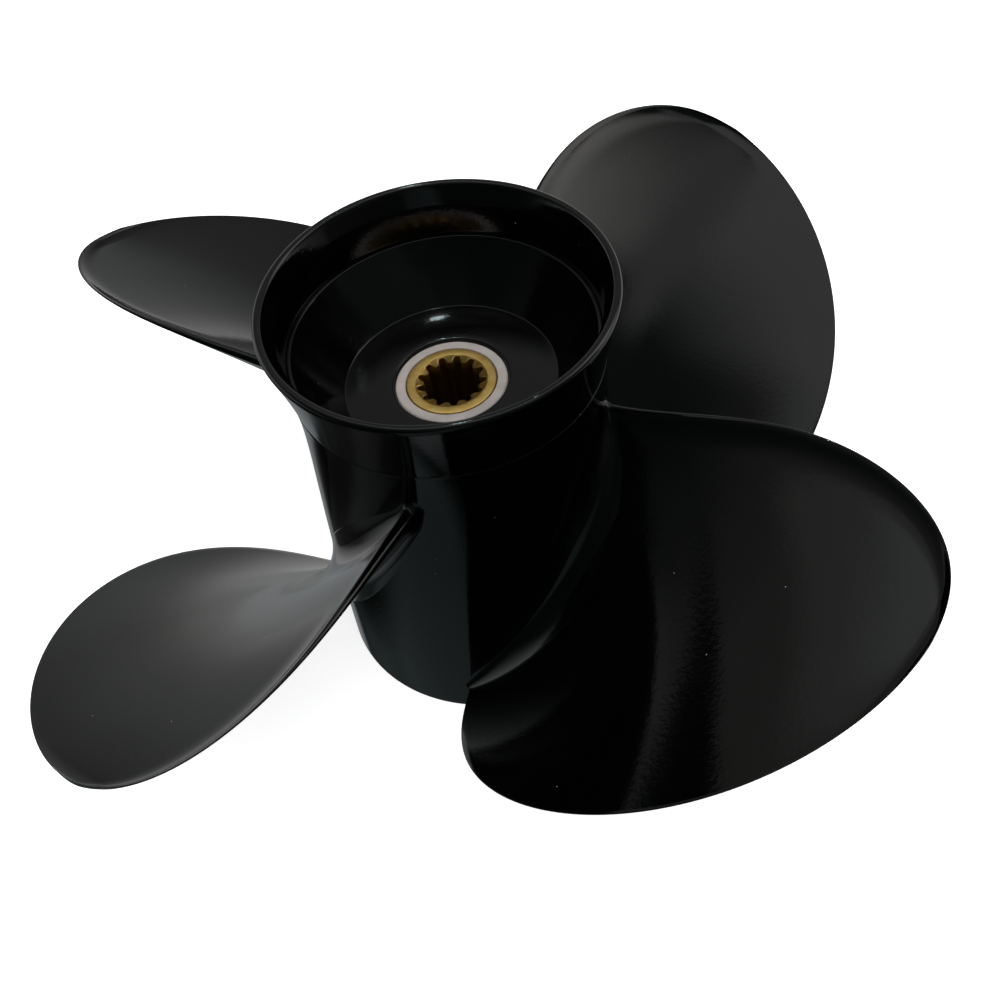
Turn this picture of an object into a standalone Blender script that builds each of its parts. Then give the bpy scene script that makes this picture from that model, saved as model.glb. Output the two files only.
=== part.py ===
"""Four-bladed boat propeller: a cast hub with a flared rear ring, blades, bush and splined sleeve.

Metres, +Z up. The propeller stands on the front end of its hub, with the shaft axis on Z and its
rear (aft) end up. The origin is on the axis, on the plane of the hub's front face.
"""

import math

import bmesh
import bpy

# Overall
HUB_LENGTH = 0.1522
TIP_RADIUS = 0.172
BLADE_COUNT = 4
FIRST_BLADE_ANGLE = math.radians(-63.2)
TOUCH_GAP = 0.0003

# Hub barrel: it tapers from the front face to a neck, and widens again towards the seam with the rear ring
FRONT_RADIUS = 0.0540
BARREL_TAPER = 0.0050
NECK_FLARE = 0.0025
NECK_POWER = 10
FRONT_CHAMFER = 0.001

# Rear ring, seated on a spigot at the barrel's rear end, flaring out to a round lip
RING_SEAT = 0.1250
RING_RADIUS = 0.0514
RING_DRAFT = math.radians(8.5)
RIM_RADIUS = 0.0575
FLARE_POWER = 1.75
LIP_RADIUS = 0.0016
LIP_START = math.radians(-17)
LIP_END = math.radians(156)
KNEE_RADIUS = 0.0518
KNEE_HEIGHT = 0.1452
SPIGOT_RADIUS = 0.0504
SPIGOT_TOP = 0.1343
LEDGE_RADIUS = 0.0492

# Bowl inside the rear end, down to the closed floor around the bush
BOWL_DRAFT = math.radians(31)
FLOOR_RADIUS = 0.0353
FLOOR_HEIGHT = 0.1152
FLOOR_THICKNESS = 0.010
BORE_CHAMFER = 0.0009

# Inner tube, bush and splined sleeve
BUSH_RADIUS = 0.01866
BUSH_BOTTOM = 0.016
SLEEVE_RADIUS = 0.01494
SLEEVE_BOTTOM = 0.012
SLEEVE_TOP = 0.1145
INNER_TUBE_RADIUS = 0.0240
INNER_TUBE_BOTTOM = 0.010
EDGE_ROUND = 0.0004

# Spline in the sleeve
SPLINE_TEETH = 13
SPLINE_ANGLE = math.radians(87.5)
SPLINE_MAJOR = 0.0115
SPLINE_MINOR = 0.0093
SPLINE_SPACE_OUTER = 0.12
SPLINE_SPACE_INNER = 0.37
COUNTERSINK_RADIUS = 0.0119
COUNTERSINK_SLOPE = 0.3

# Recess inside the front end of the barrel, and the ribs that tie the inner tube to it
RECESS_FRONT_RADIUS = 0.0505
RECESS_REAR_RADIUS = 0.0475
RECESS_FILLET = 0.005
RIB_THICKNESS = 0.005
RIB_BOTTOM = 0.008
RIB_CORNER = 0.007

# Blades: a right-hand screw surface whose chord, skew, rake and pitch follow the radius
BLADE_BASE_RADIUS = 0.0489
BLADE_HEIGHT = 0.0615
ROOT_PITCH = 0.4422
TIP_PITCH = 0.3798
HALF_CHORD = (0.0609, 0.0657, 0.1047, -0.0908)
SKEW = (-0.0266, 0.0812, -0.0364, 0.0347)
RAKE = (0.0402, -0.0138)

# Blade section: nearly flat at the rear, with its thickness in front of that and a cup at the trailing edge
ROOT_THICKNESS = 0.0068
TIP_THICKNESS = 0.0030
FULLNESS = 1.8
LEADING_EDGE = (0.0017, 0.0008)
TRAILING_EDGE = (0.0038, 0.0005)
TRAILING_FADE = 4.0
EDGE_DEPTH = 0.0013
EDGE_SAG = 0.0002
TIP_ROUND = 0.0006
CAMBER = (0.0033, 0.0010)
CAMBER_SHIFT = (-0.0021, 0.0006)
CUP_DEPTH = 0.0020
CUP_WIDTH = 0.010
CUP_FADE = 0.025
REAR_FILLET = 0.015
FRONT_FILLET = 0.006
EDGE_FILLET = 0.0028

# Mesh fineness
TURN_STEPS = 72
BLADE_ROWS = 16
FILLET_ROWS = 5
CHORD_STEPS = 15
EDGE_STEPS = 3
FOOT_STEPS = 5
ARC_STEPS = 6


def clear_scene():
    for old in list(bpy.data.objects):
        bpy.data.objects.remove(old, do_unlink=True)


def material(name, colour, roughness, metallic):
    """Return the material of that name, made on first use."""
    found = bpy.data.materials.get(name)
    if found:
        return found
    made = bpy.data.materials.new(name)
    made.use_nodes = True
    shader = made.node_tree.nodes["Principled BSDF"]
    shader.inputs["Base Color"].default_value = (*colour, 1.0)
    shader.inputs["Roughness"].default_value = roughness
    shader.inputs["Metallic"].default_value = metallic
    made.diffuse_color = (*colour, 1.0)
    return made


def black_paint():
    return material("gloss_black_paint", (0.012, 0.012, 0.013), 0.12, 0.0)


def pale_rubber():
    return material("pale_rubber", (0.46, 0.40, 0.40), 0.5, 0.0)


def sleeve_brass():
    return material("sleeve_brass", (0.62, 0.42, 0.14), 0.3, 1.0)


def add_object(name, mesh, finish, turn=0.0):
    mesh.materials.clear()
    mesh.materials.append(finish)
    mesh.shade_smooth()
    mesh.set_sharp_from_angle(angle=math.radians(35))
    made = bpy.data.objects.new(name, mesh)
    made.rotation_euler.z = turn
    bpy.context.collection.objects.link(made)
    return made


def mesh_from(bm, name):
    bmesh.ops.recalc_face_normals(bm, faces=bm.faces)
    mesh = bpy.data.meshes.new(name)
    bm.to_mesh(mesh)
    bm.free()
    return mesh


def turned_mesh(name, profile):
    """Spin a closed (radius, height) outline round Z."""
    bm = bmesh.new()
    verts = [bm.verts.new((radius, 0.0, height)) for radius, height in profile]
    edges = [bm.edges.new((a, b)) for a, b in zip(verts, verts[1:] + verts[:1])]
    bmesh.ops.spin(bm, geom=verts + edges, cent=(0, 0, 0), axis=(0, 0, 1), dvec=(0, 0, 0),
                   angle=2 * math.pi, steps=TURN_STEPS, use_merge=True, use_duplicate=False)
    bmesh.ops.remove_doubles(bm, verts=bm.verts, dist=1e-6)
    return mesh_from(bm, name)


def arc(centre_radius, centre_height, size, start, end, steps=ARC_STEPS):
    """Points of an arc in the (radius, height) plane, angles in radians from +radius."""
    angles = [start + (end - start) * k / steps for k in range(steps + 1)]
    return [(centre_radius + size * math.cos(a), centre_height + size * math.sin(a)) for a in angles]


def lip_foot():
    """Radius and height at which the round lip leaves the ring's outer flare."""
    radius = RIM_RADIUS - LIP_RADIUS * (1 - math.cos(LIP_START))
    return radius, HUB_LENGTH - LIP_RADIUS * (1 - math.sin(LIP_START))


def barrel_radius(height):
    """Outer radius of the barrel up to the seam, and of the flared rear ring above it."""
    if height <= RING_SEAT:
        share = height / RING_SEAT
        return FRONT_RADIUS - BARREL_TAPER * share ** 2 + NECK_FLARE * share ** NECK_POWER
    radius, top = lip_foot()
    rise = height - RING_SEAT
    drafted = RING_RADIUS + rise * math.tan(RING_DRAFT)
    flare = radius - RING_RADIUS - (top - RING_SEAT) * math.tan(RING_DRAFT)
    return drafted + flare * (rise / (top - RING_SEAT)) ** FLARE_POWER


def recess_radius(height):
    """Inner radius of the barrel in front of the floor."""
    depth = FLOOR_HEIGHT - FLOOR_THICKNESS
    return RECESS_FRONT_RADIUS + (RECESS_REAR_RADIUS - RECESS_FRONT_RADIUS) * height / depth


def bowl_wall(steps):
    """Arc of the bowl's wall, from the ledge at the wall's draft down to the edge of the flat floor."""
    across = LEDGE_RADIUS - FLOOR_RADIUS
    deep = SPIGOT_TOP - FLOOR_HEIGHT
    foot = 2 * math.atan(across / deep) - BOWL_DRAFT
    size = across / (math.cos(BOWL_DRAFT) - math.cos(foot))
    centre_radius = LEDGE_RADIUS - size * math.cos(BOWL_DRAFT)
    centre_height = SPIGOT_TOP + size * math.sin(BOWL_DRAFT)
    return arc(centre_radius, centre_height, size, -BOWL_DRAFT, -foot, steps)


def hub_profile():
    bore = BUSH_RADIUS + TOUCH_GAP
    under_floor = FLOOR_HEIGHT - FLOOR_THICKNESS
    barrel = [RING_SEAT * share for share in (0.2, 0.4, 0.55, 0.7, 0.78, 0.85, 0.92, 1)]
    outline = [(FRONT_RADIUS - FRONT_CHAMFER, 0.0), (barrel_radius(FRONT_CHAMFER), FRONT_CHAMFER)]
    outline += [(barrel_radius(z), z) for z in barrel]
    outline += [(SPIGOT_RADIUS, RING_SEAT), (SPIGOT_RADIUS, SPIGOT_TOP), *bowl_wall(ARC_STEPS)]
    outline += [(bore + BORE_CHAMFER, FLOOR_HEIGHT), (bore, FLOOR_HEIGHT - BORE_CHAMFER)]
    outline += [(bore, INNER_TUBE_BOTTOM), (INNER_TUBE_RADIUS, INNER_TUBE_BOTTOM)]
    outline += arc(INNER_TUBE_RADIUS + RECESS_FILLET, under_floor - RECESS_FILLET, RECESS_FILLET,
                   math.pi, math.pi / 2, 3)
    corner = recess_radius(under_floor - RECESS_FILLET) - RECESS_FILLET
    outline += arc(corner, under_floor - RECESS_FILLET, RECESS_FILLET, math.pi / 2, 0, 3)
    outline += [(RECESS_FRONT_RADIUS, 0.0)]
    return outline


def ring_profile():
    inner = SPIGOT_RADIUS + TOUCH_GAP
    seat = RING_SEAT + TOUCH_GAP
    lip_radius = RIM_RADIUS - LIP_RADIUS
    lip_height = HUB_LENGTH - LIP_RADIUS
    flare_rise = lip_foot()[1] - seat
    outline = [(barrel_radius(z), z) for z in [seat + flare_rise * k / 7 for k in range(7)]]
    outline += arc(lip_radius, lip_height, LIP_RADIUS, LIP_START, LIP_END)
    outline += [(KNEE_RADIUS + 0.0006, KNEE_HEIGHT + 0.0016), (KNEE_RADIUS, KNEE_HEIGHT)]
    outline += [(KNEE_RADIUS - 0.0003, KNEE_HEIGHT - 0.0020), (inner, SPIGOT_TOP), (inner, seat)]
    return outline


def bush_profile():
    inner = SLEEVE_RADIUS + TOUCH_GAP
    outline = [(inner, BUSH_BOTTOM), (BUSH_RADIUS, BUSH_BOTTOM), (BUSH_RADIUS, SLEEVE_TOP - EDGE_ROUND)]
    outline += [(BUSH_RADIUS - EDGE_ROUND, SLEEVE_TOP), (inner, SLEEVE_TOP)]
    return outline


def spline_outline():
    """Radius and angle of each corner of the spline, eight to a tooth."""
    pitch = 2 * math.pi / SPLINE_TEETH
    outline = []
    for tooth in range(SPLINE_TEETH):
        space = SPLINE_ANGLE + (tooth + 0.5) * pitch
        for radius, share in ((SPLINE_MINOR, -0.44), (SPLINE_MINOR, -SPLINE_SPACE_INNER),
                              (SPLINE_MAJOR - 0.0006, -SPLINE_SPACE_OUTER - 0.05),
                              (SPLINE_MAJOR, -SPLINE_SPACE_OUTER * 0.6), (SPLINE_MAJOR, SPLINE_SPACE_OUTER * 0.6),
                              (SPLINE_MAJOR - 0.0006, SPLINE_SPACE_OUTER + 0.05),
                              (SPLINE_MINOR, SPLINE_SPACE_INNER), (SPLINE_MINOR, 0.44)):
            outline.append((radius, space + share * pitch))
    return outline


def sleeve_mesh():
    """A tube that is round outside and splined inside, with a countersink at each end."""
    spline = spline_outline()
    angles = [angle for radius, angle in spline]

    def circle(radius, height):
        return [(radius * math.cos(a), radius * math.sin(a), height) for a in angles]

    def splined(end, side):
        sunk = [end - side * COUNTERSINK_SLOPE * (COUNTERSINK_RADIUS - radius) for radius, angle in spline]
        return [(radius * math.cos(a), radius * math.sin(a), z) for (radius, a), z in zip(spline, sunk)]

    rings = [circle(SLEEVE_RADIUS, SLEEVE_BOTTOM + EDGE_ROUND), circle(SLEEVE_RADIUS, SLEEVE_TOP - EDGE_ROUND),
             circle(SLEEVE_RADIUS - EDGE_ROUND, SLEEVE_TOP), circle(COUNTERSINK_RADIUS, SLEEVE_TOP),
             splined(SLEEVE_TOP, 1), splined(SLEEVE_BOTTOM, -1), circle(COUNTERSINK_RADIUS, SLEEVE_BOTTOM),
             circle(SLEEVE_RADIUS - EDGE_ROUND, SLEEVE_BOTTOM)]
    bm = bmesh.new()
    rows = [[bm.verts.new(point) for point in ring] for ring in rings]
    count = len(angles)
    for row, following in zip(rows, rows[1:] + rows[:1]):
        for k in range(count):
            bm.faces.new((row[k], row[(k + 1) % count], following[(k + 1) % count], following[k]))
    return mesh_from(bm, "spline_sleeve")


def rib_mesh():
    """One flat rib between the inner tube and the barrel, with its rear corners cut off."""
    inner = INNER_TUBE_RADIUS + TOUCH_GAP
    top = FLOOR_HEIGHT - FLOOR_THICKNESS - TOUCH_GAP
    shoulder = top - RIB_CORNER

    def outer(height):
        return recess_radius(height) - 1.5 * TOUCH_GAP

    outline = [(inner, RIB_BOTTOM), (outer(RIB_BOTTOM), RIB_BOTTOM), (outer(shoulder), shoulder),
               (outer(shoulder) - RIB_CORNER, top), (inner + RIB_CORNER, top), (inner, shoulder)]
    bm = bmesh.new()
    face = bm.faces.new([bm.verts.new((r, -RIB_THICKNESS / 2, z)) for r, z in outline])
    moved = bmesh.ops.extrude_face_region(bm, geom=[face])["geom"]
    bmesh.ops.translate(bm, vec=(0, RIB_THICKNESS, 0), verts=[v for v in moved if isinstance(v, bmesh.types.BMVert)])
    return mesh_from(bm, "front_rib")


def series(values, share, first_power):
    """Polynomial in the share of the blade's span, from 0 at its base to 1 at its tip."""
    return sum(value * share ** (power + first_power) for power, value in enumerate(values))


def span_share(radius):
    return (radius - BLADE_BASE_RADIUS) / (TIP_RADIUS - BLADE_BASE_RADIUS)


def blade_point(radius, along, off):
    """Place a point of the blade: along its screw line from mid-chord, and off it towards the rear."""
    share = span_share(radius)
    pitch = ROOT_PITCH + (TIP_PITCH - ROOT_PITCH) * share
    slope = math.atan(pitch / (2 * math.pi * radius))
    travel = series(SKEW, share, 1) + along
    angle = (travel * math.cos(slope) - off * math.sin(slope)) / radius
    height = BLADE_HEIGHT + series(RAKE, share, 1) + travel * math.sin(slope) + off * math.cos(slope)
    return radius, angle, height


def stations():
    """Stations from leading to trailing edge: (share of the half chord, turn round the edge)."""
    turns = [math.pi / 2 * k / EDGE_STEPS for k in range(EDGE_STEPS)]
    across = [(2 * k / CHORD_STEPS - 1, math.pi / 2) for k in range(CHORD_STEPS + 1)]
    return [(-1.0, turn) for turn in turns] + across + [(1.0, turn) for turn in reversed(turns)]


def edge_thickness(x, share):
    """Thickness of the section's two edges, blended along the chord."""
    leading = LEADING_EDGE[1] + (LEADING_EDGE[0] - LEADING_EDGE[1]) * (1 - share) ** 2
    trailing = TRAILING_EDGE[1] + (TRAILING_EDGE[0] - TRAILING_EDGE[1]) * (1 - share ** 2) ** TRAILING_FADE
    return (leading * (1 - x) + trailing * (1 + x)) / 2


def cup(along, half):
    """How far the section sags in front of the line between its edges because of the cup."""
    width = min(CUP_WIDTH, 0.5 * half)
    depth = CUP_DEPTH * min(half / CUP_FADE, 1)
    beyond = along - (half - width)
    slope = depth / (2 * half - width)
    if beyond < 0:
        return depth + slope * beyond
    return depth + slope * beyond - (depth + slope * width) * (beyond / width) ** 2


def section_spot(radius, station, side, grow):
    """Point of the section at that radius, on its rear (1) or front (-1) side, grown by the root fillet."""
    x, turn = station
    share = span_share(radius)
    half = math.sqrt(max(1 - share, 0)) * series(HALF_CHORD, share, 0)
    tip_depth = min((TIP_RADIUS - radius) / TIP_ROUND, 1)
    rounding = math.sqrt(1 - (1 - tip_depth) ** 2)
    edge = min(edge_thickness(x, share) / 2 * rounding, 0.9 * half)
    middle = max(rounding * (ROOT_THICKNESS + (TIP_THICKNESS - ROOT_THICKNESS) * share) / 2, edge)
    depth = min(edge, EDGE_DEPTH)
    flat = half - depth
    swell = (middle - edge) * (1 - abs(x) ** FULLNESS)
    bow = CAMBER[0] + (CAMBER[1] - CAMBER[0]) * share
    shift = CAMBER_SHIFT[0] + (CAMBER_SHIFT[1] - CAMBER_SHIFT[0]) * share
    camber = (bow + shift * x) * half / HALF_CHORD[0] * (1 - x * x)
    mean = -edge - EDGE_SAG * rounding - swell - camber - cup(flat * x, half)
    along = flat * x + (depth + grow) * math.copysign(math.cos(turn), x)
    return blade_point(radius, along, mean + side * (edge + swell + grow) * math.sin(turn))


def blade_row(turn, reached):
    """One row of the blade for each of its two sides: at a turn through the root fillet, or beyond it."""
    reach = TIP_RADIUS - FRONT_RADIUS
    rows = []
    for side, deepest in ((1, REAR_FILLET), (-1, FRONT_FILLET)):
        points = []
        for station in stations():
            fillet = EDGE_FILLET + (deepest - EDGE_FILLET) * (1 - station[0] ** 2)
            start = fillet * (1 - math.cos(turn)) / reach
            climb = start + (1 - start) * reached
            radius = FRONT_RADIUS + reach * climb
            for _ in range(12):
                spot = section_spot(radius, station, side, fillet * (1 - math.sin(turn)))
                foot = barrel_radius(spot[2]) + TOUCH_GAP
                radius = min(foot + (TIP_RADIUS - foot) * climb, TIP_RADIUS)
            points.append(spot)
        rows.append(points)
    return rows


def cartesian(spot):
    radius, angle, height = spot
    return radius * math.cos(angle), radius * math.sin(angle), height


def blade_rows():
    """All rows from the foot on the barrel out to just inside the tip."""
    rows = [blade_row(math.pi / 2 * k / FILLET_ROWS, 0.0) for k in range(FILLET_ROWS + 1)]
    rows += [blade_row(math.pi / 2, math.sin(math.pi / 2 * k / BLADE_ROWS)) for k in range(1, BLADE_ROWS)]
    return rows


def foot_lines(row):
    """Points across the blade's foot, laid on the barrel between its two sides."""
    lines = []
    for above, below in zip(*row):
        line = []
        for k in range(1, FOOT_STEPS):
            share = k / FOOT_STEPS
            angle = above[1] + (below[1] - above[1]) * share
            height = above[2] + (below[2] - above[2]) * share
            line.append((barrel_radius(height) + TOUCH_GAP, angle, height))
        lines.append(line)
    return lines


def blade_mesh():
    rows = blade_rows()
    bm = bmesh.new()
    last = len(rows[0][0]) - 1
    above, below = [], []
    for upper, lower in rows:
        top = [bm.verts.new(cartesian(spot)) for spot in upper]
        under = [bm.verts.new(cartesian(spot)) for spot in lower[1:-1]]
        above.append(top)
        below.append([top[0], *under, top[-1]])
    for sheet in (above, below):
        for row, following in zip(sheet, sheet[1:]):
            for k in range(last):
                bm.faces.new((row[k], row[k + 1], following[k + 1], following[k]))
    tip = bm.verts.new(cartesian(blade_point(TIP_RADIUS, 0.0, 0.0)))
    for sheet in (above, below):
        for k in range(last):
            bm.faces.new((sheet[-1][k], sheet[-1][k + 1], tip))
    lines = []
    for k, line in enumerate(foot_lines(rows[0])):
        if k in (0, last):
            lines.append([above[0][k]] * (FOOT_STEPS + 1))
        else:
            lines.append([above[0][k], *[bm.verts.new(cartesian(spot)) for spot in line], below[0][k]])
    for line, following in zip(lines, lines[1:]):
        for k in range(FOOT_STEPS):
            corners = dict.fromkeys((line[k], line[k + 1], following[k + 1], following[k]))
            bm.faces.new(tuple(corners))
    bmesh.ops.triangulate(bm, faces=bm.faces)
    return mesh_from(bm, "blade")


def build():
    clear_scene()
    add_object("hub_body", turned_mesh("hub_body", hub_profile()), black_paint())
    add_object("diffuser_ring", turned_mesh("diffuser_ring", ring_profile()), black_paint())
    add_object("rubber_bush", turned_mesh("rubber_bush", bush_profile()), pale_rubber())
    add_object("spline_sleeve", sleeve_mesh(), sleeve_brass())
    rib = rib_mesh()
    blade = blade_mesh()
    for k in range(BLADE_COUNT):
        turn = FIRST_BLADE_ANGLE + 2 * math.pi * k / BLADE_COUNT
        add_object(f"front_rib_{k + 1}", rib, black_paint(), turn)
        add_object(f"blade_{k + 1}", blade, black_paint(), turn)


build()
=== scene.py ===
"""Looks for the boat propeller: finely turned hub, blades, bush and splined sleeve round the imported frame.

Metres, +Z up. The shaft axis is Z and the hub stands on its front face, at height 0.
"""
import math

import bmesh
import bpy
from mathutils import Matrix, Vector


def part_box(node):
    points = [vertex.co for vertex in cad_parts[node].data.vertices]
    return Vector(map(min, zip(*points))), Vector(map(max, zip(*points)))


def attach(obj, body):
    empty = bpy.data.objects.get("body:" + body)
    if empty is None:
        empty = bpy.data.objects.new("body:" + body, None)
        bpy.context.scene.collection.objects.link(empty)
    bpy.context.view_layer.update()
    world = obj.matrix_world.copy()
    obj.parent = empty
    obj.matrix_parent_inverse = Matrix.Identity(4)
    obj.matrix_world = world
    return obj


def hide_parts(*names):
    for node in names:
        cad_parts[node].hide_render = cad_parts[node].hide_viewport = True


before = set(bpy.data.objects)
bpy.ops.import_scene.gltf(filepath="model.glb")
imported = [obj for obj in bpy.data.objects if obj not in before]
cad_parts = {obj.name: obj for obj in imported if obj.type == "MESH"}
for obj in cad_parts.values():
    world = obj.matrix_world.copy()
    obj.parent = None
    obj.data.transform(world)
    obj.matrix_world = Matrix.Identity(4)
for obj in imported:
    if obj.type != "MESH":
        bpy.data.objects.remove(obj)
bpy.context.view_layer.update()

# Overall
BODY = "root"
HUB_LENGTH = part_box("diffuser_ring")[1][2]
TIP_RADIUS = 0.172
BLADE_COUNT = 4
FIRST_BLADE_ANGLE = math.radians(-63.2)
TOUCH_GAP = 0.0003

# Hub barrel: it tapers from the front face to a neck, and widens again towards the seam with the rear ring
FRONT_RADIUS = 0.0540
BARREL_TAPER = 0.0050
NECK_FLARE = 0.0025
NECK_POWER = 10
FRONT_ROUND = 0.001

# Rear ring, seated on a spigot at the barrel's rear end, flaring out to a round lip
RING_SEAT = 0.1250
RING_RADIUS = 0.0514
RING_DRAFT = math.radians(8.5)
RIM_RADIUS = 0.0575
FLARE_POWER = 1.75
LIP_RADIUS = 0.0016
LIP_START = math.radians(-17)
LIP_END = math.radians(156)
KNEE_RADIUS = 0.0518
KNEE_HEIGHT = 0.1452
KNEE_ROUND = 0.004
SPIGOT_RADIUS = 0.0504
SPIGOT_TOP = 0.1343
LEDGE_RADIUS = 0.0492
SEAM_ROUND = 0.0001
LEDGE_ROUND = 0.00035

# Bowl inside the rear end, down to the closed floor round the bush
BOWL_DRAFT = math.radians(31)
FLOOR_RADIUS = 0.0353
FLOOR_HEIGHT = 0.1152
FLOOR_THICKNESS = 0.010
BORE_ROUND = 0.0009
FLOOR_EDGE_ROUND = 0.0006

# Inner tube, bush and splined sleeve
BUSH_RADIUS = 0.01866
BUSH_BOTTOM = 0.016
SLEEVE_RADIUS = 0.01494
SLEEVE_BOTTOM = 0.012
SLEEVE_TOP = 0.1145
INNER_TUBE_RADIUS = 0.0240
INNER_TUBE_BOTTOM = 0.010
EDGE_ROUND = 0.0004
BUSH_ROUND = 0.0009

# Spline in the sleeve
SPLINE_TEETH = 13
SPLINE_ANGLE = math.radians(87.5)
SPLINE_MAJOR = 0.0115
SPLINE_MINOR = 0.0093
COUNTERSINK_RADIUS = 0.0119
COUNTERSINK_SLOPE = 0.3

# Recess inside the front end of the barrel, and the ribs that tie the inner tube to it
RECESS_FRONT_RADIUS = 0.0505
RECESS_REAR_RADIUS = 0.0475
RECESS_FILLET = 0.005
RIB_THICKNESS = 0.005
RIB_BOTTOM = 0.008
RIB_CORNER = 0.007

# Blades: a right-hand screw surface whose chord, skew, rake and pitch follow the radius
BLADE_BASE_RADIUS = 0.0489
BLADE_HEIGHT = 0.0615
ROOT_PITCH = 0.4422
TIP_PITCH = 0.3798
HALF_CHORD = (0.0609, 0.0657, 0.1047, -0.0908)
SKEW = (-0.0266, 0.0812, -0.0364, 0.0347)
RAKE = (0.0402, -0.0138)

# Blade section: nearly flat at the rear, with its thickness in front of that and a cup at the trailing edge
ROOT_THICKNESS = 0.0068
TIP_THICKNESS = 0.0030
FULLNESS = 1.8
LEADING_EDGE = (0.0017, 0.0008)
TRAILING_EDGE = (0.0038, 0.0005)
TRAILING_FADE = 4.0
EDGE_DEPTH = 0.0013
EDGE_SAG = 0.0002
TIP_ROUND = 0.0006
CAMBER = (0.0033, 0.0010)
CAMBER_SHIFT = (-0.0021, 0.0006)
CUP_DEPTH = 0.0020
CUP_WIDTH = 0.010
CUP_FADE = 0.025
REAR_FILLET = 0.015
FRONT_FILLET = 0.006
EDGE_FILLET = 0.0028
FOOT_SINK = 0.00006

# Paint: how dark it is, its orange peel, the waviness of the casting under it and the dust on it
PAINT_IOR = 1.5
PAINT_CLOUDS = 0.03
PAINT_PATCHES = 0.02
PAINT_DARK = (0.0004, 0.0004, 0.0005)
PAINT_LIGHT = (0.0008, 0.0008, 0.0009)
PAINT_ROUGHNESS = (0.06, 0.12)
WAVE_SIZE = 0.03
WAVE_DEPTH = 0.00008
PEEL_SIZE = 0.0015
PEEL_DEPTH = 0.00002
DUST_SPACING = 0.007
DUST_SIZE = 0.00022
DUST_SHARE = 0.3
DUST_COLOUR = (0.18, 0.18, 0.18)

# Turning marks on the bowl's machined floor
MARK_PITCH = 0.0006
MARK_DEPTH = 0.000004
MARK_REACH = 0.00005

# Bush: its colours and how large their clouds are, its grain and its roughness
RUBBER_DARK = (0.27, 0.24, 0.228)
RUBBER_LIGHT = (0.34, 0.305, 0.29)
RUBBER_CLOUDS = 0.004
RUBBER_GRAIN = 0.0006
RUBBER_GRAIN_DEPTH = 0.00002
RUBBER_PATCHES = 0.002
RUBBER_ROUGHNESS = (0.4, 0.55)

# Sleeve: the same for its brass, and the painted shade inside its bore
BRASS_DARK = (0.86, 0.52, 0.14)
BRASS_LIGHT = (1.0, 0.70, 0.25)
BRASS_CLOUDS = 0.003
BRASS_GRAIN = 0.0005
BRASS_GRAIN_DEPTH = 0.00001
BRASS_PATCHES = 0.0015
BRASS_ROUGHNESS = (0.38, 0.5)
BORE_SHADE_COLOUR = (0.45, 0.30, 0.13)
BORE_SHADE_DEPTH = 0.0045

# Room: its brightness, and how that rises towards the ceiling and the far wall
ROOM_LEVEL = 0.087
ROOM_RISE = (0.0, 0.096, 0.169)
ROOM_DARKEST = 0.005

# Lights: wide fills, and lamps that only show as glints
FILL_DISTANCE = 2.2
LAMP_DISTANCE = 2.5
FILL_POWER = 42.0
FILL_COLOUR = (1.0, 1.0, 1.0)
LAMP_POWER = 2.4
LAMP_COLOUR = (0.80, 0.96, 1.0)

# Floor: its colours, grain, roughness and glow, and how it turns up into the backdrop
FLOOR_DARK = (0.86, 0.86, 0.86)
FLOOR_LIGHT = (0.9, 0.9, 0.9)
FLOOR_CLOUDS = 0.2
FLOOR_GRAIN = 0.002
FLOOR_GRAIN_DEPTH = 0.00004
FLOOR_ROUGHNESS = 0.9
FLOOR_GLOW = 0.75
FLOOR_REACH = 5.0
COVE_RADIUS = 2.0
BACKDROP_TOP = 6.0

# Mesh fineness
TURN_STEPS = 256
BARREL_STEPS = 40
FLARE_STEPS = 20
BOWL_STEPS = 24
TOOTH_STEPS = 36
COVE_STEPS = 16
BACKDROP_STEPS = 96
PROFILE_STEP = 0.0016
CHORD_STEPS = 64
EDGE_STEPS = 6
BLADE_ROWS = 90
FILLET_ROWS = 14
FOOT_STEPS = 6
SETTLE_STEPS = 12

# Camera, from the fit to the photograph
CAMERA_PLACE = (0.0058, -0.3258, 0.4309)
CAMERA_ELEVATION = 0.8797
CAMERA_ROLL = -0.174
CAMERA_LENS = 49.52
CAMERA_SHIFT = (0.0056, 0.0250)


# Meshes

def add_piece(name, mesh, finish, slot, *nodes):
    """Link a mesh as a piece of the propeller that stands for those CAD nodes."""
    mesh.materials.clear()
    mesh.materials.append(finish)
    mesh.shade_smooth()
    made = bpy.data.objects.new(name, mesh)
    bpy.context.collection.objects.link(made)
    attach(made, BODY)
    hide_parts(*nodes)
    return made


def mesh_from(bm, name):
    bmesh.ops.recalc_face_normals(bm, faces=bm.faces)
    mesh = bpy.data.meshes.new(name)
    bm.to_mesh(mesh)
    bm.free()
    return mesh


def loft(name, rings):
    """Skin a closed run of closed rings, each with the same number of points."""
    bm = bmesh.new()
    rows = [[bm.verts.new(point) for point in ring] for ring in rings]
    count = len(rows[0])
    for row, following in zip(rows, rows[1:] + rows[:1]):
        for k in range(count):
            bm.faces.new((row[k], row[(k + 1) % count], following[(k + 1) % count], following[k]))
    return mesh_from(bm, name)


def turned_mesh(name, profile):
    """Turn a closed (radius, height) outline round the shaft axis."""
    angles = [2 * math.pi * k / TURN_STEPS for k in range(TURN_STEPS)]
    rings = [[(r * math.cos(a), r * math.sin(a), z) for a in angles] for r, z in profile]
    return loft(name, rings)


def arc(centre_radius, centre_height, size, start, end, steps=8):
    """Points of an arc in the (radius, height) plane, angles in radians from +radius."""
    angles = [start + (end - start) * k / steps for k in range(steps + 1)]
    return [(centre_radius + size * math.cos(a), centre_height + size * math.sin(a)) for a in angles]


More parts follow.
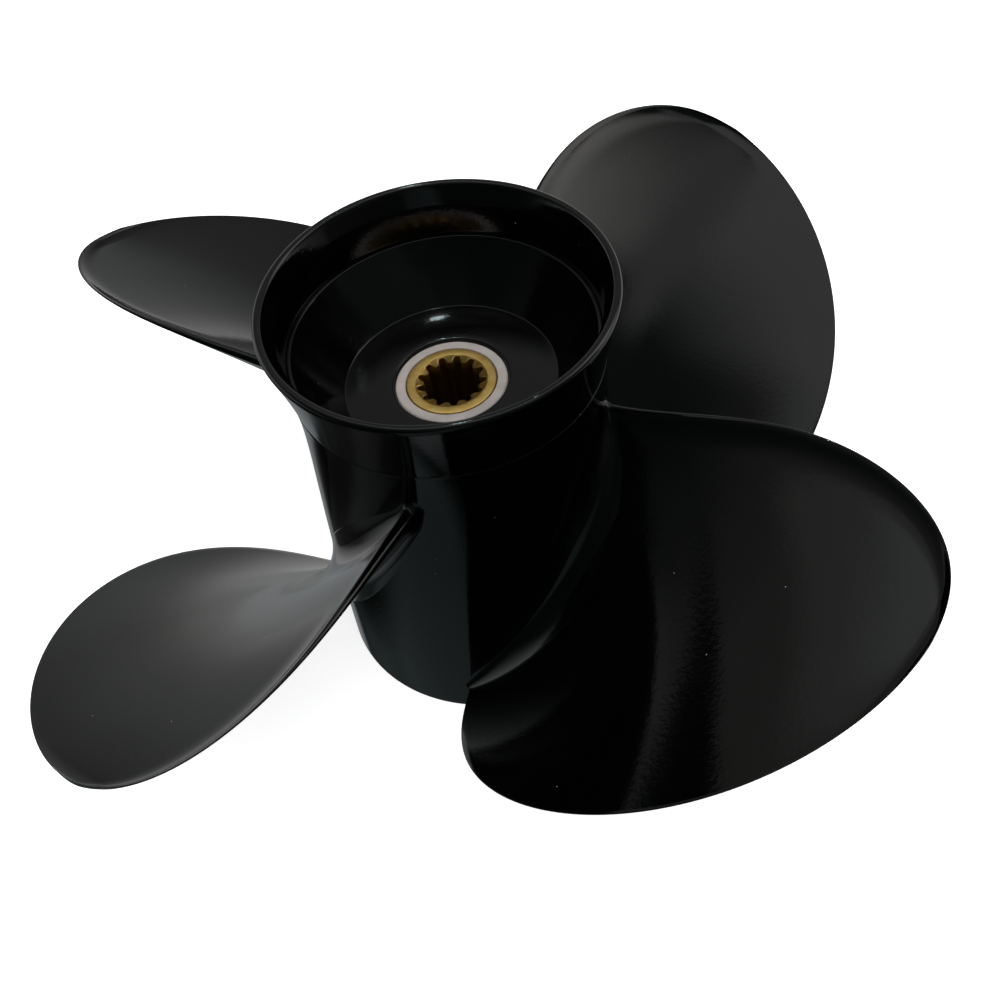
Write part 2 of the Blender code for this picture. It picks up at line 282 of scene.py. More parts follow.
def rounded(corners, steps=4):
    """Outline through (radius, height, rounding) corners, with an arc at each rounded one."""
    outline = []
    for before, here, after in zip(corners[-1:] + corners[:-1], corners, corners[1:] + corners[:1]):
        spot = Vector(here[:2])
        if not here[2]:
            outline.append(tuple(spot))
            continue
        back = (Vector(before[:2]) - spot).normalized()
        forth = (Vector(after[:2]) - spot).normalized()
        half = back.angle(forth) / 2
        centre = spot + (back + forth).normalized() * here[2] / math.sin(half)
        start = spot + back * here[2] / math.tan(half) - centre
        sweep = (spot + forth * here[2] / math.tan(half) - centre).angle_signed(start)
        for k in range(steps + 1):
            outline.append(tuple(centre + Matrix.Rotation(sweep * k / steps, 2) @ start))
    return outline


def spaced(outline):
    """The outline with extra points, so that no stretch of it is longer than the profile step."""
    dense = []
    for here, after in zip(outline, outline[1:] + outline[:1]):
        parts = max(math.ceil(math.dist(here, after) / PROFILE_STEP), 1)
        dense += [(here[0] + (after[0] - here[0]) * k / parts, here[1] + (after[1] - here[1]) * k / parts)
                  for k in range(parts)]
    return dense


# Hub

def lip_foot():
    """Radius and height at which the round lip leaves the ring's outer flare."""
    radius = RIM_RADIUS - LIP_RADIUS * (1 - math.cos(LIP_START))
    return radius, HUB_LENGTH - LIP_RADIUS * (1 - math.sin(LIP_START))


def barrel_radius(height):
    """Outer radius of the barrel up to the seam, and of the flared rear ring above it."""
    if height <= RING_SEAT:
        share = height / RING_SEAT
        return FRONT_RADIUS - BARREL_TAPER * share ** 2 + NECK_FLARE * share ** NECK_POWER
    radius, top = lip_foot()
    rise = height - RING_SEAT
    drafted = RING_RADIUS + rise * math.tan(RING_DRAFT)
    flare = radius - RING_RADIUS - (top - RING_SEAT) * math.tan(RING_DRAFT)
    return drafted + flare * (rise / (top - RING_SEAT)) ** FLARE_POWER


def recess_radius(height):
    """Inner radius of the barrel in front of the floor."""
    depth = FLOOR_HEIGHT - FLOOR_THICKNESS
    return RECESS_FRONT_RADIUS + (RECESS_REAR_RADIUS - RECESS_FRONT_RADIUS) * height / depth


def bowl_wall(steps):
    """Arc of the bowl's wall, from the ledge at the wall's draft down to the edge of the flat floor."""
    across = LEDGE_RADIUS - FLOOR_RADIUS
    deep = SPIGOT_TOP - FLOOR_HEIGHT
    foot = 2 * math.atan(across / deep) - BOWL_DRAFT
    size = across / (math.cos(BOWL_DRAFT) - math.cos(foot))
    centre_radius = LEDGE_RADIUS - size * math.cos(BOWL_DRAFT)
    centre_height = SPIGOT_TOP + size * math.sin(BOWL_DRAFT)
    return arc(centre_radius, centre_height, size, -BOWL_DRAFT, -foot, steps)


def hub_profile():
    bore = BUSH_RADIUS + TOUCH_GAP
    under_floor = FLOOR_HEIGHT - FLOOR_THICKNESS
    corners = [(FRONT_RADIUS, 0.0, FRONT_ROUND)]
    heights = [RING_SEAT * k / BARREL_STEPS for k in range(1, BARREL_STEPS)]
    corners += [(barrel_radius(z), z, 0) for z in heights]
    corners += [(barrel_radius(RING_SEAT), RING_SEAT, SEAM_ROUND), (SPIGOT_RADIUS, RING_SEAT, 0)]
    corners += [(SPIGOT_RADIUS, SPIGOT_TOP, LEDGE_ROUND), (LEDGE_RADIUS, SPIGOT_TOP, LEDGE_ROUND)]
    wall = bowl_wall(BOWL_STEPS)
    corners += [(r, z, 0) for r, z in wall[1:-1]] + [(*wall[-1], FLOOR_EDGE_ROUND)]
    corners += [(bore, FLOOR_HEIGHT, BORE_ROUND), (bore, INNER_TUBE_BOTTOM, BORE_ROUND)]
    corners += [(INNER_TUBE_RADIUS, INNER_TUBE_BOTTOM, BORE_ROUND)]
    corners += [(INNER_TUBE_RADIUS, under_floor, RECESS_FILLET)]
    corners += [(recess_radius(under_floor), under_floor, RECESS_FILLET)]
    corners += [(RECESS_FRONT_RADIUS, 0.0, FRONT_ROUND)]
    return spaced(rounded(corners, 6))


def ring_profile():
    inner = SPIGOT_RADIUS
    seat = RING_SEAT + TOUCH_GAP / 4
    lip_radius = RIM_RADIUS - LIP_RADIUS
    lip_height = HUB_LENGTH - LIP_RADIUS
    outer = [seat + (lip_foot()[1] - seat) * k / FLARE_STEPS for k in range(1, FLARE_STEPS)]
    corners = [(barrel_radius(seat), seat, SEAM_ROUND)]
    corners += [(barrel_radius(z), z, 0) for z in outer]
    lip = arc(lip_radius, lip_height, LIP_RADIUS, LIP_START, LIP_END, FLARE_STEPS)
    corners += [(r, z, 0) for r, z in lip]
    corners += [(KNEE_RADIUS, KNEE_HEIGHT, KNEE_ROUND), (inner, SPIGOT_TOP, 0), (inner, seat, 0)]
    return spaced(rounded(corners, 8))


def bush_profile():
    inner = SLEEVE_RADIUS + TOUCH_GAP
    return spaced(rounded([(inner, BUSH_BOTTOM, EDGE_ROUND), (BUSH_RADIUS, BUSH_BOTTOM, EDGE_ROUND),
                           (BUSH_RADIUS, SLEEVE_TOP, BUSH_ROUND), (inner, SLEEVE_TOP, EDGE_ROUND)], 6))


def spline_radius(angle):
    """Inner radius of the sleeve: thirteen teeth with V-shaped, round-bottomed spaces between them."""
    turn = (angle - SPLINE_ANGLE) / (2 * math.pi / SPLINE_TEETH)
    off_tooth = abs(turn - round(turn))
    flank = min(max((off_tooth - 0.13) / 0.25, 0), 1)
    return SPLINE_MINOR + (SPLINE_MAJOR - SPLINE_MINOR) * flank * flank * (3 - 2 * flank)


def sleeve_mesh():
    """A tube that is round outside and splined inside, with a countersink at each end."""
    count = SPLINE_TEETH * TOOTH_STEPS
    angles = [2 * math.pi * k / count for k in range(count)]

    def ring(radius, height):
        return [(radius * math.cos(a), radius * math.sin(a), height) for a in angles]

    def splined(end, side, deeper):
        made = []
        for a in angles:
            radius = spline_radius(a)
            height = end - side * (COUNTERSINK_SLOPE * (COUNTERSINK_RADIUS - radius) + deeper)
            made.append((radius * math.cos(a), radius * math.sin(a), height))
        return made

    outside = rounded([(COUNTERSINK_RADIUS, SLEEVE_BOTTOM, EDGE_ROUND / 2),
                       (SLEEVE_RADIUS, SLEEVE_BOTTOM, EDGE_ROUND),
                       (SLEEVE_RADIUS, SLEEVE_TOP, EDGE_ROUND),
                       (COUNTERSINK_RADIUS, SLEEVE_TOP, EDGE_ROUND / 2)])
    rings = [ring(r, z) for r, z in outside]
    deep = (SLEEVE_TOP - SLEEVE_BOTTOM) / 2 - COUNTERSINK_RADIUS + SPLINE_MINOR
    depths = (0, EDGE_ROUND / 2, 2 * EDGE_ROUND, deep / 2)
    rings += [splined(SLEEVE_TOP, 1, depth) for depth in depths]
    rings += [splined(SLEEVE_BOTTOM, -1, depth) for depth in reversed(depths)]
    return loft("sleeve", rings)


def rib_mesh():
    """One flat rib between the inner tube and the barrel, with its rear corners cut off."""
    inner = INNER_TUBE_RADIUS + TOUCH_GAP
    top = FLOOR_HEIGHT - FLOOR_THICKNESS - TOUCH_GAP
    shoulder = top - RIB_CORNER

    def outer(height):
        return recess_radius(height) - 1.5 * TOUCH_GAP

    outline = [(inner, RIB_BOTTOM), (outer(RIB_BOTTOM), RIB_BOTTOM), (outer(shoulder), shoulder),
               (outer(shoulder) - RIB_CORNER, top), (inner + RIB_CORNER, top), (inner, shoulder)]
    bm = bmesh.new()
    face = bm.faces.new([bm.verts.new((r, -RIB_THICKNESS / 2, z)) for r, z in outline])
    moved = bmesh.ops.extrude_face_region(bm, geom=[face])["geom"]
    far_side = [v for v in moved if isinstance(v, bmesh.types.BMVert)]
    bmesh.ops.translate(bm, vec=(0, RIB_THICKNESS, 0), verts=far_side)
    return mesh_from(bm, "front_web")


# Blades

def series(values, share, first_power):
    """Polynomial in the share of the blade's span, from 0 at its base to 1 at its tip."""
    return sum(value * share ** (power + first_power) for power, value in enumerate(values))


def span_share(radius):
    return (radius - BLADE_BASE_RADIUS) / (TIP_RADIUS - BLADE_BASE_RADIUS)


def blade_point(radius, along, off):
    """Place a point of the blade: along its screw line from mid-chord, and off it towards the rear."""
    share = span_share(radius)
    pitch = ROOT_PITCH + (TIP_PITCH - ROOT_PITCH) * share
    slope = math.atan(pitch / (2 * math.pi * radius))
    travel = series(SKEW, share, 1) + along
    angle = (travel * math.cos(slope) - off * math.sin(slope)) / radius
    height = BLADE_HEIGHT + series(RAKE, share, 1) + travel * math.sin(slope) + off * math.cos(slope)
    return radius, angle, height


def stations():
    """Stations from leading to trailing edge: (share of the half chord, turn round the edge)."""
    turns = [math.pi / 2 * k / EDGE_STEPS for k in range(EDGE_STEPS)]
    across = [(2 * k / CHORD_STEPS - 1, math.pi / 2) for k in range(CHORD_STEPS + 1)]
    return [(-1.0, turn) for turn in turns] + across + [(1.0, turn) for turn in reversed(turns)]


def edge_thickness(x, share):
    """Thickness of the section's two edges, blended along the chord."""
    leading = LEADING_EDGE[1] + (LEADING_EDGE[0] - LEADING_EDGE[1]) * (1 - share) ** 2
    trailing = TRAILING_EDGE[1] + (TRAILING_EDGE[0] - TRAILING_EDGE[1]) * (1 - share ** 2) ** TRAILING_FADE
    return (leading * (1 - x) + trailing * (1 + x)) / 2


def cup(along, half):
    """How far the section sags in front of the line between its edges because of the cup."""
    width = min(CUP_WIDTH, 0.5 * half)
    depth = CUP_DEPTH * min(half / CUP_FADE, 1)
    beyond = along - (half - width)
    slope = depth / (2 * half - width)
    if beyond < 0:
        return depth + slope * beyond
    return depth + slope * beyond - (depth + slope * width) * (beyond / width) ** 2


def section_spot(radius, station, side, grow):
    """Point of the section at that radius, on its rear (1) or front (-1) side, grown by the root fillet."""
    x, turn = station
    share = span_share(radius)
    half = math.sqrt(max(1 - share, 0)) * series(HALF_CHORD, share, 0)
    tip_depth = min((TIP_RADIUS - radius) / TIP_ROUND, 1)
    rounding = math.sqrt(1 - (1 - tip_depth) ** 2)
    edge = min(edge_thickness(x, share) / 2 * rounding, 0.9 * half)
    middle = max(rounding * (ROOT_THICKNESS + (TIP_THICKNESS - ROOT_THICKNESS) * share) / 2, edge)
    depth = min(edge, EDGE_DEPTH)
    flat = half - depth
    swell = (middle - edge) * (1 - abs(x) ** FULLNESS)
    bow = CAMBER[0] + (CAMBER[1] - CAMBER[0]) * share
    shift = CAMBER_SHIFT[0] + (CAMBER_SHIFT[1] - CAMBER_SHIFT[0]) * share
    camber = (bow + shift * x) * half / HALF_CHORD[0] * (1 - x * x)
    mean = -edge - EDGE_SAG * rounding - swell - camber - cup(flat * x, half)
    along = flat * x + (depth + grow) * math.copysign(math.cos(turn), x)
    return blade_point(radius, along, mean + side * (edge + swell + grow) * math.sin(turn))


def blade_row(turn, reached):
    """One row of the blade for each of its two sides: at a turn through the root fillet, or beyond it."""
    reach = TIP_RADIUS - FRONT_RADIUS
    rows = []
    for side, deepest in ((1, REAR_FILLET), (-1, FRONT_FILLET)):
        points = []
        for station in stations():
            fillet = EDGE_FILLET + (deepest - EDGE_FILLET) * (1 - station[0] ** 2)
            start = fillet * (1 - math.cos(turn)) / reach
            climb = start + (1 - start) * reached
            radius = FRONT_RADIUS + reach * climb
            for _ in range(SETTLE_STEPS):
                spot = section_spot(radius, station, side, fillet * (1 - math.sin(turn)))
                foot = barrel_radius(spot[2]) - FOOT_SINK
                radius = min(foot + (TIP_RADIUS - foot) * climb, TIP_RADIUS)
            points.append(spot)
        rows.append(points)
    return rows


def cartesian(spot):
    radius, angle, height = spot
    return radius * math.cos(angle), radius * math.sin(angle), height


def blade_rows():
    """All rows from the foot on the barrel out to just inside the tip."""
    rows = [blade_row(math.pi / 2 * k / FILLET_ROWS, 0.0) for k in range(FILLET_ROWS + 1)]
    rows += [blade_row(math.pi / 2, math.sin(math.pi / 2 * k / BLADE_ROWS)) for k in range(1, BLADE_ROWS)]
    return rows


def foot_lines(row):
    """Points across the blade's foot, laid in the barrel between its two sides."""
    lines = []
    for above, below in zip(*row):
        line = []
        for k in range(1, FOOT_STEPS):
            share = k / FOOT_STEPS
            angle = above[1] + (below[1] - above[1]) * share
            height = above[2] + (below[2] - above[2]) * share
            line.append((barrel_radius(height) - FOOT_SINK, angle, height))
        lines.append(line)
    return lines


def blade_mesh():
    rows = blade_rows()
    bm = bmesh.new()
    last = len(rows[0][0]) - 1
    above, below = [], []
    for upper, lower in rows:
        top = [bm.verts.new(cartesian(spot)) for spot in upper]
        under = [bm.verts.new(cartesian(spot)) for spot in lower[1:-1]]
        above.append(top)
        below.append([top[0], *under, top[-1]])
    for sheet in (above, below):
        for row, following in zip(sheet, sheet[1:]):
            for k in range(last):
                bm.faces.new((row[k], row[k + 1], following[k + 1], following[k]))
    tip = bm.verts.new(cartesian(blade_point(TIP_RADIUS, 0.0, 0.0)))
    for sheet in (above, below):
        for k in range(last):
            bm.faces.new((sheet[-1][k], sheet[-1][k + 1], tip))
    lines = []
    for k, line in enumerate(foot_lines(rows[0])):
        if k in (0, last):
            lines.append([above[0][k]] * (FOOT_STEPS + 1))
        else:
            lines.append([above[0][k], *[bm.verts.new(cartesian(spot)) for spot in line], below[0][k]])
    for line, following in zip(lines, lines[1:]):
        for k in range(FOOT_STEPS):
            corners = dict.fromkeys((line[k], line[k + 1], following[k + 1], following[k]))
            bm.faces.new(tuple(corners))
    return mesh_from(bm, "blade")


# Materials

def new_material(name):
    """A material with its tree, its Principled shader and its object coordinates."""
    made = bpy.data.materials.new(name)
    made.use_nodes = True
    tree = made.node_tree
    place = tree.nodes.new("ShaderNodeTexCoord").outputs["Object"]
    return made, tree, tree.nodes["Principled BSDF"], place


def noise(tree, place, size, detail=2.0, rough=0.5):
    """Noise whose grains are about that many metres across."""
    made = tree.nodes.new("ShaderNodeTexNoise")
    made.inputs["Scale"].default_value = 1 / size
    made.inputs["Detail"].default_value = detail
    made.inputs["Roughness"].default_value = rough
    tree.links.new(place, made.inputs["Vector"])
    return made.outputs["Fac"]


def bump(tree, height, depth, under=None):
    """Bump of that depth in metres, on top of the normal given."""
    made = tree.nodes.new("ShaderNodeBump")
    made.inputs["Strength"].default_value = 1.0
    made.inputs["Distance"].default_value = depth
    tree.links.new(height, made.inputs["Height"])
    if under:
        tree.links.new(under, made.inputs["Normal"])
    return made.outputs["Normal"]


def ramp(tree, value, stops):
    """Colour ramp through (position, colour) stops."""
    made = tree.nodes.new("ShaderNodeValToRGB")
    while len(made.color_ramp.elements) < len(stops):
        made.color_ramp.elements.new(0.5)
    for element, (position, colour) in zip(made.color_ramp.elements, stops):
        element.position = position
        element.color = (*colour, 1.0)
    tree.links.new(value, made.inputs["Fac"])
    return made.outputs["Color"]


def dot_with(tree, place, axis):
    made = tree.nodes.new("ShaderNodeVectorMath")
    made.operation = "DOT_PRODUCT"
    made.inputs[1].default_value = axis
    tree.links.new(place, made.inputs[0])
    return made.outputs["Value"]


def calculated(tree, operation, first, second=None):
    made = tree.nodes.new("ShaderNodeMath")
    made.operation = operation
    for socket, given in zip(made.inputs, (first, second)):
        if isinstance(given, bpy.types.NodeSocket):
            tree.links.new(given, socket)
        elif given is not None:
            socket.default_value = given
    return made.outputs["Value"]


def smooth_step(tree, value, start, end):
    """0 up to the start and 1 from the end, with a soft change between them."""
    made = tree.nodes.new("ShaderNodeMapRange")
    made.interpolation_type = "SMOOTHSTEP"
    tree.links.new(value, made.inputs["Value"])
    made.inputs["From Min"].default_value = start
    made.inputs["From Max"].default_value = end
    return made.outputs["Result"]


def laid_over(tree, share, under, colour):
    """That share of the colour, over what is under it."""
    made = tree.nodes.new("ShaderNodeMix")
    made.data_type = "RGBA"
    tree.links.new(share, made.inputs[0])
    tree.links.new(under, made.inputs[6])
    made.inputs[7].default_value = (*colour, 1.0)
    return made.outputs[2]


def colour_spread(tree, place, size, low, high):
    """Cloudy mix of two colours."""
    return ramp(tree, noise(tree, place, size, 4.0), [(0.3, low), (0.7, high)])


def spread(tree, value, low, high):
    """Take a noise value, mostly from 0.3 to 0.7, to the range given."""
    made = tree.nodes.new("ShaderNodeMapRange")
    tree.links.new(value, made.inputs["Value"])
    for name, limit in (("From Min", 0.3), ("From Max", 0.7), ("To Min", low), ("To Max", high)):
        made.inputs[name].default_value = limit
    return made.outputs["Result"]


def dust_specks(tree, place):
    """1 at small scattered specks of dust, 0 elsewhere."""
    cells = tree.nodes.new("ShaderNodeTexVoronoi")
    cells.inputs["Scale"].default_value = 1 / DUST_SPACING
    tree.links.new(place, cells.inputs["Vector"])
    speck = calculated(tree, "LESS_THAN", cells.outputs["Distance"], DUST_SIZE / DUST_SPACING)
    few = calculated(tree, "GREATER_THAN", cells.outputs["Color"], 1 - DUST_SHARE)
    return calculated(tree, "MULTIPLY", speck, few)


def shaft_distance(tree, place):
    """Distance from the shaft axis."""
    flat = tree.nodes.new("ShaderNodeVectorMath")
    flat.operation = "MULTIPLY"
    flat.inputs[1].default_value = (1.0, 1.0, 0.0)
    tree.links.new(place, flat.inputs[0])
    length = tree.nodes.new("ShaderNodeVectorMath")
    length.operation = "LENGTH"
    tree.links.new(flat.outputs["Vector"], length.inputs[0])
    return length.outputs["Value"]


def turning_marks(tree, place):
    """Concentric waves from turning on the bowl's flat floor, 0 elsewhere."""
    radius = shaft_distance(tree, place)
    wave = calculated(tree, "SINE", calculated(tree, "MULTIPLY", radius, 2 * math.pi / MARK_PITCH))
    height = dot_with(tree, place, (0.0, 0.0, 1.0))
    off_floor = calculated(tree, "ABSOLUTE", calculated(tree, "SUBTRACT", height, FLOOR_HEIGHT))
    on_floor = calculated(tree, "LESS_THAN", off_floor, MARK_REACH)
    within = calculated(tree, "LESS_THAN", radius, FLOOR_RADIUS)
    return calculated(tree, "MULTIPLY", wave, calculated(tree, "MULTIPLY", on_floor, within))


def gloss_paint(name):
    """Black sprayed enamel: orange peel, a slow waviness from the casting and a few dust specks."""
    made, tree, shader, place = new_material(name)
    black = colour_spread(tree, place, PAINT_CLOUDS, PAINT_DARK, PAINT_LIGHT)
    dusty = laid_over(tree, dust_specks(tree, place), black, DUST_COLOUR)
    tree.links.new(dusty, shader.inputs["Base Color"])
    waves = bump(tree, noise(tree, place, WAVE_SIZE, 1.0), WAVE_DEPTH)
    peel = bump(tree, noise(tree, place, PEEL_SIZE, 2.0), PEEL_DEPTH, waves)
    tree.links.new(bump(tree, turning_marks(tree, place), MARK_DEPTH, peel), shader.inputs["Normal"])
    rough = spread(tree, noise(tree, place, PAINT_PATCHES, 3.0), *PAINT_ROUGHNESS)
    tree.links.new(rough, shader.inputs["Roughness"])
    shader.inputs["IOR"].default_value = PAINT_IOR
    return made


def bush_rubber():
    made, tree, shader, place = new_material("pale_rubber")
    pale = colour_spread(tree, place, RUBBER_CLOUDS, RUBBER_DARK, RUBBER_LIGHT)
    grain = bump(tree, noise(tree, place, RUBBER_GRAIN, 3.0), RUBBER_GRAIN_DEPTH)
    rough = spread(tree, noise(tree, place, RUBBER_PATCHES, 3.0), *RUBBER_ROUGHNESS)
    tree.links.new(pale, shader.inputs["Base Color"])
    tree.links.new(grain, shader.inputs["Normal"])
    tree.links.new(rough, shader.inputs["Roughness"])
    return made


def down_the_bore(tree, place):
    """0 at the sleeve's end faces, rising to 1 inside its bore, where painted shade darkens the teeth."""
    middle = (SLEEVE_TOP + SLEEVE_BOTTOM) / 2
    height = dot_with(tree, place, (0.0, 0.0, 1.0))
    off_middle = calculated(tree, "ABSOLUTE", calculated(tree, "SUBTRACT", height, middle))
    depth = calculated(tree, "SUBTRACT", SLEEVE_TOP - middle, off_middle)
    return smooth_step(tree, depth, BORE_SHADE_DEPTH / 3, BORE_SHADE_DEPTH)


def sleeve_brass():
    made, tree, shader, place = new_material("sleeve_brass")
    clean = colour_spread(tree, place, BRASS_CLOUDS, BRASS_DARK, BRASS_LIGHT)
    # Painted shade: the brass colour turns darker down the bore, towards its middle
    bore_shaded = laid_over(tree, down_the_bore(tree, place), clean, BORE_SHADE_COLOUR)
    grain = bump(tree, noise(tree, place, BRASS_GRAIN, 3.0), BRASS_GRAIN_DEPTH)
    rough = spread(tree, noise(tree, place, BRASS_PATCHES, 3.0), *BRASS_ROUGHNESS)
    tree.links.new(bore_shaded, shader.inputs["Base Color"])
    tree.links.new(grain, shader.inputs["Normal"])
    tree.links.new(rough, shader.inputs["Roughness"])
    shader.inputs["Metallic"].default_value = 1.0
    return made


# Stage

def floor_material():
    made, tree, shader, place = new_material("pale_floor")
    pale = colour_spread(tree, place, FLOOR_CLOUDS, FLOOR_DARK, FLOOR_LIGHT)
    grain = bump(tree, noise(tree, place, FLOOR_GRAIN, 2.0), FLOOR_GRAIN_DEPTH)
    tree.links.new(pale, shader.inputs["Base Color"])
    tree.links.new(grain, shader.inputs["Normal"])
    shader.inputs["Roughness"].default_value = FLOOR_ROUGHNESS
    shader.inputs["Emission Color"].default_value = (1.0, 1.0, 1.0, 1.0)
    shader.inputs["Emission Strength"].default_value = FLOOR_GLOW
    return made


def add_floor():
    """A round pale floor that turns up into a backdrop. The propeller reflects the room, not this floor."""
    cove = arc(FLOOR_REACH, COVE_RADIUS, COVE_RADIUS, -math.pi / 2, 0.0, COVE_STEPS)
    angles = [2 * math.pi * k / BACKDROP_STEPS for k in range(BACKDROP_STEPS)]
    bm = bmesh.new()
    rows = []
    for radius, height in (*cove, (FLOOR_REACH + COVE_RADIUS, BACKDROP_TOP)):
        rows.append([bm.verts.new((radius * math.cos(a), radius * math.sin(a), height)) for a in angles])
    bm.faces.new(rows[0])
    for row, following in zip(rows, rows[1:]):
        for k in range(len(angles)):
            bm.faces.new((row[k - 1], row[k], following[k], following[k - 1]))
    mesh = mesh_from(bm, "pale_floor")
    mesh.materials.append(floor_material())
    mesh.shade_smooth()
    floor = bpy.data.objects.new("pale_floor", mesh)
    bpy.context.collection.objects.link(floor)
    floor.visible_glossy = False
    floor.visible_diffuse = False


def inside(tree, angle, half, softness):
    """1 within that half width, falling softly to 0 round it."""
    return smooth_step(tree, angle, half * (1 + softness), half * (1 - softness))


def direction(azimuth, elevation):
    """Unit vector that way. Angles are in degrees, the azimuth from +Y towards +X."""
    bearing, height = math.radians(azimuth), math.radians(elevation)
    level = math.cos(height)
    return Vector((math.sin(bearing) * level, math.cos(bearing) * level, math.sin(height)))


def add_panel(tree, place, behind, azimuth, elevation, roll, half_size, softness, colour):
    """Lay one soft panel over what is behind it. Its half width and half height are in degrees too."""
    out = direction(azimuth, elevation)
    flat = direction(azimuth + 90, 0)
    turn = Matrix.Rotation(math.radians(roll), 3, out)
    ahead = dot_with(tree, place, out)
    mask = calculated(tree, "GREATER_THAN", ahead, 0.0)
    for axis, half, soft in zip((turn @ flat, turn @ out.cross(flat)), half_size, softness):
        beside = calculated(tree, "ABSOLUTE", dot_with(tree, place, axis))
        angle = calculated(tree, "ARCTAN2", beside, ahead)
        mask = calculated(tree, "MULTIPLY", mask, inside(tree, angle, math.radians(half), soft))
    return laid_over(tree, mask, behind, colour)


def add_world():
    """A studio with a pale ceiling, dark walls behind the camera and soft panels round the propeller."""
    world = bpy.data.worlds.new("studio")
    world.use_nodes = True
    bpy.context.scene.world = world

    # The paint's sharp reflections find the room by themselves, and sampling it as a light takes long
    world.cycles.sampling_method = "NONE"
    tree = world.node_tree
    place = tree.nodes.new("ShaderNodeTexCoord").outputs["Generated"]
    rise = calculated(tree, "ADD", dot_with(tree, place, ROOM_RISE), ROOM_LEVEL)
    level = calculated(tree, "MAXIMUM", rise, ROOM_DARKEST)
    seen = tree.nodes.new("ShaderNodeCombineColor")
    for socket in seen.inputs[:3]:
        tree.links.new(level, socket)
    seen = seen.outputs["Color"]

    # Walls and floor of the room
    seen = add_panel(tree, place, seen, 219, -3, -28, (69, 58), (1.0, 0.09), (0.016, 0.029, 0.020))
    seen = add_panel(tree, place, seen, 314, 6, -10, (42, 16), (0.99, 0.77), (0.76, 0.81, 0.81))
    seen = add_panel(tree, place, seen, 35, -28, -10, (66, 29), (0.58, 0.53), (0.73, 0.73, 0.725))
    seen = add_panel(tree, place, seen, 340, -62, 10, (12, 36), (0.14, 0.55), (0.24, 0.26, 0.27))
    seen = add_panel(tree, place, seen, 316, 55, 60, (73, 24), (0.71, 0.65), (0.195, 0.205, 0.185))
    seen = add_panel(tree, place, seen, 308, 55, 26, (23, 6), (0.14, 0.55), (0.35, 0.36, 0.34))

    # Ceiling, with a gap above the camera and a dim spot overhead
    seen = add_panel(tree, place, seen, 324, 78, 59, (20, 17), (0.42, 0.38), (0.61, 0.63, 0.63))
    seen = add_panel(tree, place, seen, 104, 78, 60, (27, 19), (0.08, 0.31), (0.74, 0.75, 0.74))
    seen = add_panel(tree, place, seen, 152, 48, -17, (47, 21), (0.27, 0.97), (0.055, 0.078, 0.068))
    seen = add_panel(tree, place, seen, 12, 66, 0, (17, 9), (0.4, 0.4), (0.14, 0.15, 0.15))

    # Window to the right, with a darker beam above it, and the floor in front
    seen = add_panel(tree, place, seen, 81, 32, 6, (14, 20), (0.70, 0.96), (1.62, 1.60, 1.54))
    seen = add_panel(tree, place, seen, 98, 62, 22, (25, 5), (0.35, 0.85), (0.49, 0.51, 0.49))
    seen = add_panel(tree, place, seen, 210, -38, 54, (62, 15), (0.24, 0.35), (0.12, 0.148, 0.151))

    # Dark places: under the window, on the floor below it, and under the propeller's left side
    seen = add_panel(tree, place, seen, 99, 19, 0, (10, 11), (0.4, 0.4), (0.033, 0.036, 0.034))
    seen = add_panel(tree, place, seen, 84, -36, 0, (12, 9), (0.6, 0.6), (0.05, 0.05, 0.05))
    seen = add_panel(tree, place, seen, 292, -68, 0, (11, 12), (0.5, 0.5), (0.03, 0.04, 0.035))
    tree.links.new(seen, tree.nodes["Background"].inputs["Color"])


def add_light(name, azimuth, elevation, distance, size, power, glossy):
    """A square area light, that way from the hub's rear end: for glints alone, or for all but glints."""
    away = direction(azimuth, elevation)
    data = bpy.data.lights.new(name, "AREA")
    data.size = size
    data.energy = power
    data.color = LAMP_COLOUR if glossy else FILL_COLOUR
    light = bpy.data.objects.new(name, data)
    turn = away.to_track_quat("Z", "Y").to_matrix().to_4x4()
    light.matrix_world = Matrix.Translation(away * distance + Vector((0.0, 0.0, HUB_LENGTH))) @ turn
    light.visible_glossy = glossy
    light.visible_diffuse = not glossy
    bpy.context.collection.objects.link(light)


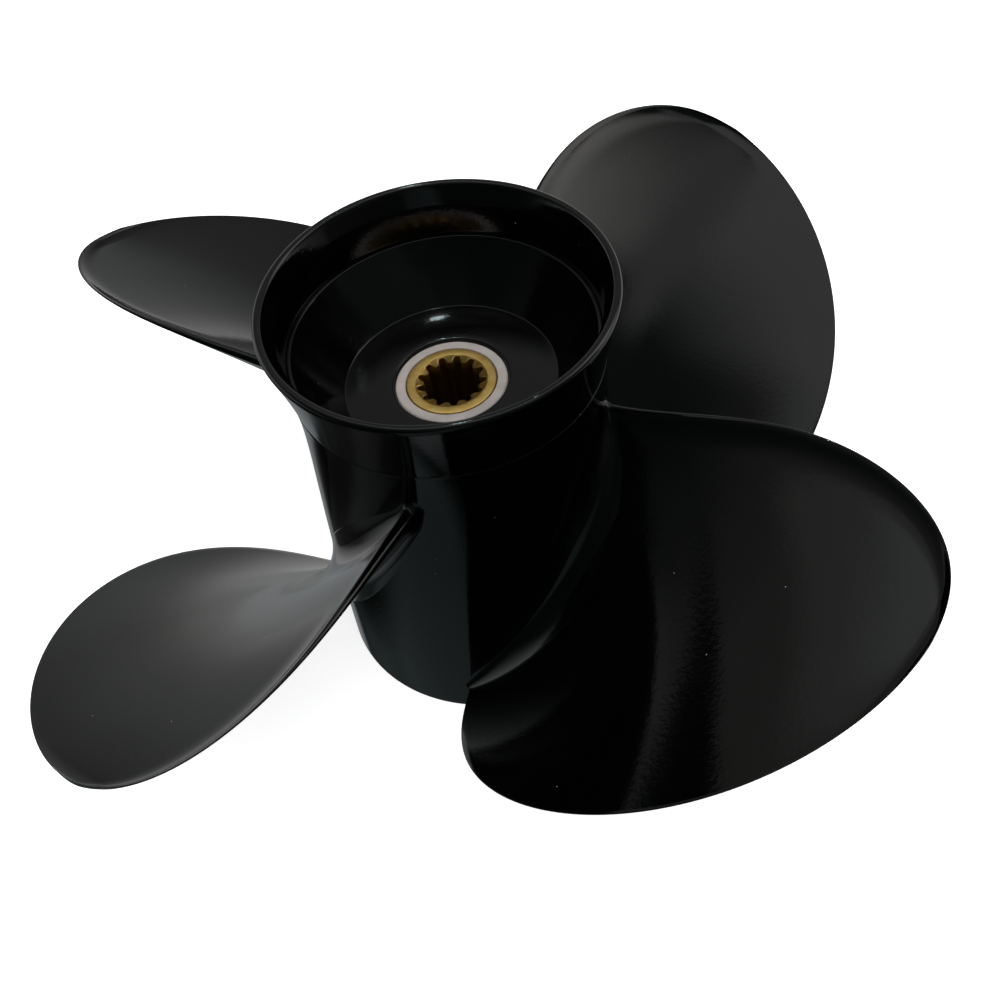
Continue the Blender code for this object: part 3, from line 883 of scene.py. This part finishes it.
def add_lights():
    """Wide fill lights that keep the floor pale, and two lamps for the glints."""
    add_light("fill_over", 0, 85, FILL_DISTANCE, 2.4, FILL_POWER, False)
    add_light("fill_front", 180, 45, FILL_DISTANCE, 1.6, FILL_POWER / 2, False)
    add_light("lamp_north", 0, 70, LAMP_DISTANCE, 0.05, LAMP_POWER, True)
    add_light("lamp_east", 30, 66, LAMP_DISTANCE, 0.03, LAMP_POWER / 7, True)


def add_camera():
    """The photograph's camera, as fitted to the outlines."""
    turn = CAMERA_ROLL
    right = Vector((1.0, 0.0, 0.0))
    back = Vector((0.0, -math.cos(CAMERA_ELEVATION), math.sin(CAMERA_ELEVATION)))
    up = back.cross(right)
    across = right * math.cos(turn) + up * math.sin(turn)
    upward = up * math.cos(turn) - right * math.sin(turn)
    data = bpy.data.cameras.new("photo_camera")
    data.lens = CAMERA_LENS
    data.shift_x, data.shift_y = CAMERA_SHIFT
    camera = bpy.data.objects.new("photo_camera", data)
    axes = Matrix((across, upward, back)).transposed()
    camera.matrix_world = Matrix.Translation(CAMERA_PLACE) @ axes.to_4x4()
    bpy.context.collection.objects.link(camera)
    bpy.context.scene.camera = camera


def main():
    paint = gloss_paint("gloss_black_paint")
    add_piece("hub_casting", turned_mesh("hub_casting", hub_profile()), paint, "hub_paint", "hub_body")
    add_piece("rear_ring", turned_mesh("rear_ring", ring_profile()), paint, "hub_paint", "diffuser_ring")
    add_piece("bush", turned_mesh("bush", bush_profile()), bush_rubber(), "bush_rubber", "rubber_bush")
    add_piece("sleeve", sleeve_mesh(), sleeve_brass(), "sleeve_brass", "spline_sleeve")
    kinds = (("web", rib_mesh(), "front_rib", "hub_paint"), ("blade", blade_mesh(), "blade", "blade_paint"))
    for k in range(BLADE_COUNT):
        turn = Matrix.Rotation(FIRST_BLADE_ANGLE + 2 * math.pi * k / BLADE_COUNT, 4, "Z")
        for name, shape, node, slot in kinds:
            mesh = shape.copy()
            mesh.transform(turn)
            add_piece(f"cast_{name}_{k + 1}", mesh, paint, slot, f"{node}_{k + 1}")
    add_floor()
    add_world()
    add_lights()
    add_camera()
    bpy.context.scene.view_settings.view_transform = "Standard"


main()
